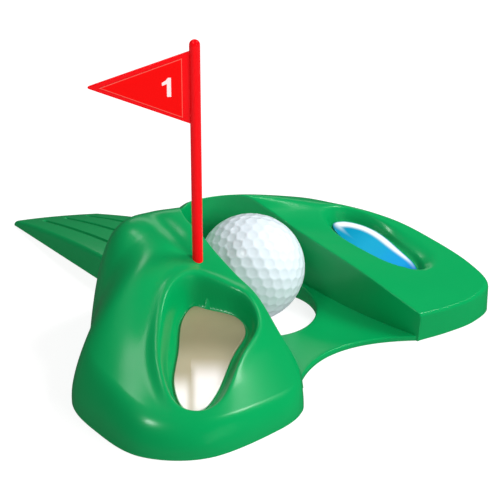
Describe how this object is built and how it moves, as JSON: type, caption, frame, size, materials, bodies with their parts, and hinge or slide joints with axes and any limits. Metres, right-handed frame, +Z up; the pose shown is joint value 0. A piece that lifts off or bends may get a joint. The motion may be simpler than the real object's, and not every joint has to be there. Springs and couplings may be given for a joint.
{
  "type": "practice putting cup with hazards",
  "caption": "Indoor practice putting cup: a thin green moulding with a ball channel, bunker and pond hills, a grooved tongue and a red pin flag, with a golf ball in the cup.",
  "frame": {"origin": "middle of the object's footprint, at the floor", "axes": "+Z up, +Y along the length from the open channel front to the grooved tongue's tip, +X towards the pond hill"},
  "size_m": [0.1802, 0.2072, 0.1247],
  "materials": {
    "green_plastic": "smooth semi-gloss moulded plastic",
    "sand_foil": "satin champagne foil with a fine grain",
    "water_foil": "glossy metallic blue foil",
    "red_plastic": "smooth semi-gloss moulded plastic",
    "flag_label": "printed sticker with a pale numeral 1",
    "ball_cover": "satin white dimpled cover"
  },
  "bodies": {
    "moulding": {"green_shell": "green_plastic", "bunker_sand_foil": "sand_foil", "pond_water_foil": "water_foil"},
    "flag": {"flagstick": "red_plastic", "flag_label_front": "flag_label", "flag_label_back": "flag_label"},
    "ball": {"golf_ball": "ball_cover"}
  },
  "joints": [
    {"name": "flag_lift", "type": "slide", "parent": "moulding", "child": "flag", "axis": [0, 0, 1], "range_m": [0, 0.03]},
    {"name": "ball_lift", "type": "slide", "parent": "moulding", "child": "ball", "axis": [0, 0, 1], "range_m": [0, 0.06]}
  ]
}
